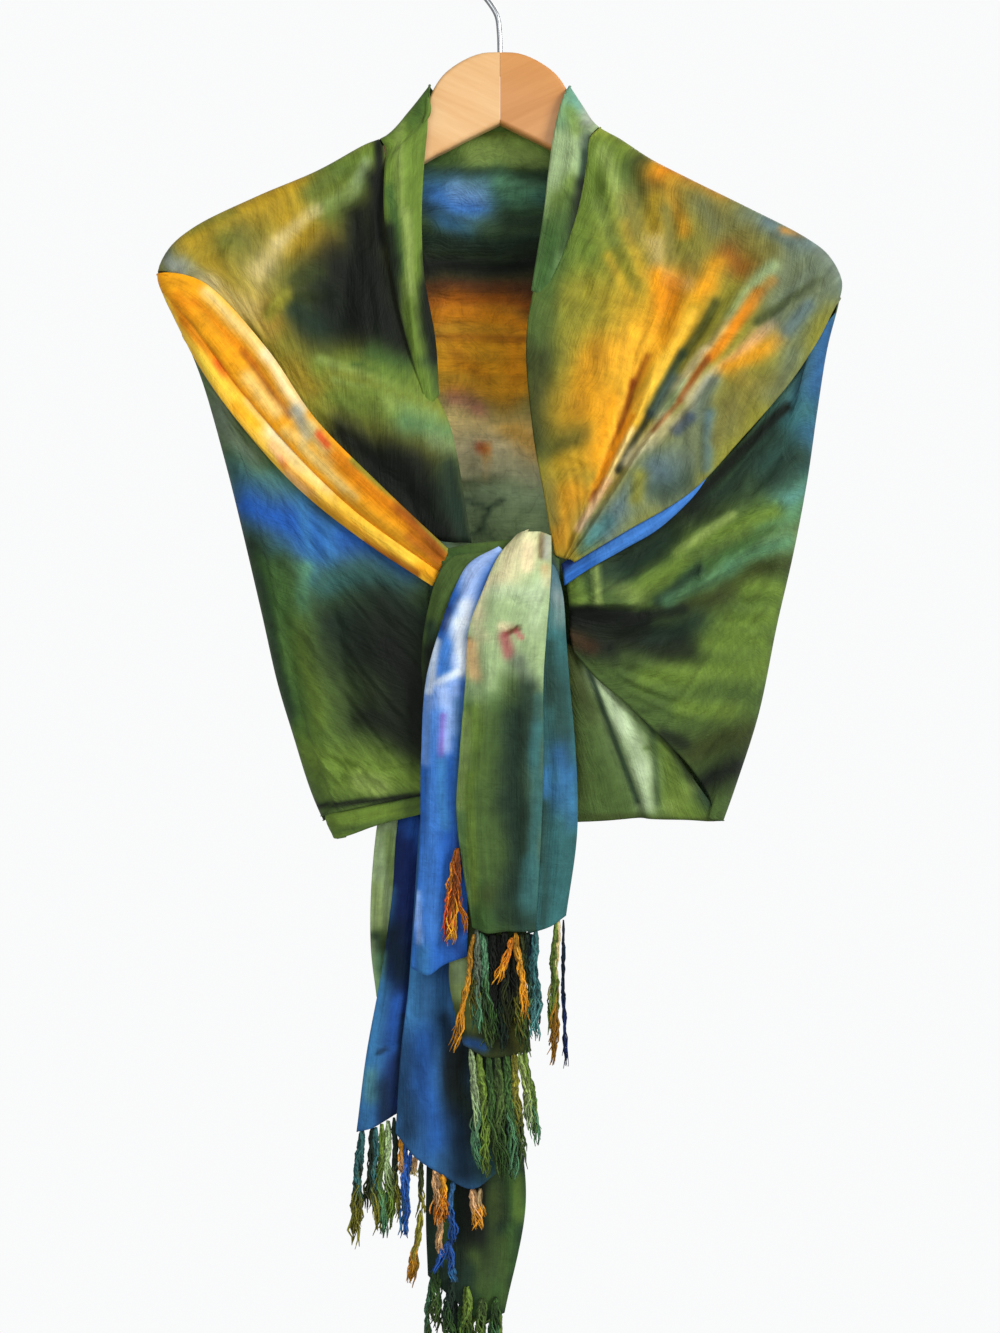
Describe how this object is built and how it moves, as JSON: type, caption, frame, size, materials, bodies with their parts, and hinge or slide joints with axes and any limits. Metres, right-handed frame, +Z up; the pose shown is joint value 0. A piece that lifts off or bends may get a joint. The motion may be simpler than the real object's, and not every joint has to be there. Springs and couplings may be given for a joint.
{
  "type": "sarong on a wooden hanger",
  "caption": "Hand-dyed rayon sarong draped like a shawl over a wooden hanger, its fringed ends tied in front in one knot.",
  "frame": {"origin": "inside top of the hanger's hook, where the rail bears on it", "axes": "+Z up, +X to the viewer's right when facing the knot, the front towards -Y; the garment hangs down along -Z"},
  "size_m": [0.4455, 0.0837, 0.961],
  "materials": {
    "hanger_wood": "satin varnish",
    "hook_wire": "bright zinc",
    "moss_cloth": "soft low sheen, hand-dyed",
    "leaf_cloth": "soft low sheen, hand-dyed",
    "gold_cloth": "soft low sheen, hand-dyed",
    "blue_cloth": "soft low sheen, hand-dyed",
    "pale_cloth": "soft low sheen, hand-dyed",
    "teal_cloth": "soft low sheen, hand-dyed",
    "fringe_yarn": "matt twisted yarn"
  },
  "bodies": {
    "root": {"hanger_arm_left": "hanger_wood", "hanger_arm_right": "hanger_wood", "hanger_hook": "hook_wire", "back_panel": "moss_cloth", "left_collar_band": "leaf_cloth", "left_front_upper": "leaf_cloth", "left_pleat_upper": "gold_cloth", "left_pleat_lower": "gold_cloth", "left_front_lower": "moss_cloth", "left_hem_layer": "leaf_cloth", "right_collar_band": "leaf_cloth", "right_front_upper": "leaf_cloth", "right_edge_band": "blue_cloth", "right_front_lower": "moss_cloth", "right_inner_layer": "pale_cloth", "knot_core": "leaf_cloth", "knot_wrap": "leaf_cloth", "blue_tail": "blue_cloth", "front_tail": "pale_cloth", "front_tail_side": "teal_cloth", "middle_tail": "moss_cloth", "long_blue_tail": "blue_cloth", "navy_tail": "blue_cloth", "pale_tail": "pale_cloth", "long_green_tail": "moss_cloth", "fringe_front": "fringe_yarn", "fringe_tuft": "fringe_yarn", "fringe_middle": "fringe_yarn", "fringe_left": "fringe_yarn", "fringe_long": "fringe_yarn", "fringe_bottom": "fringe_yarn"}
  },
  "joints": []
}
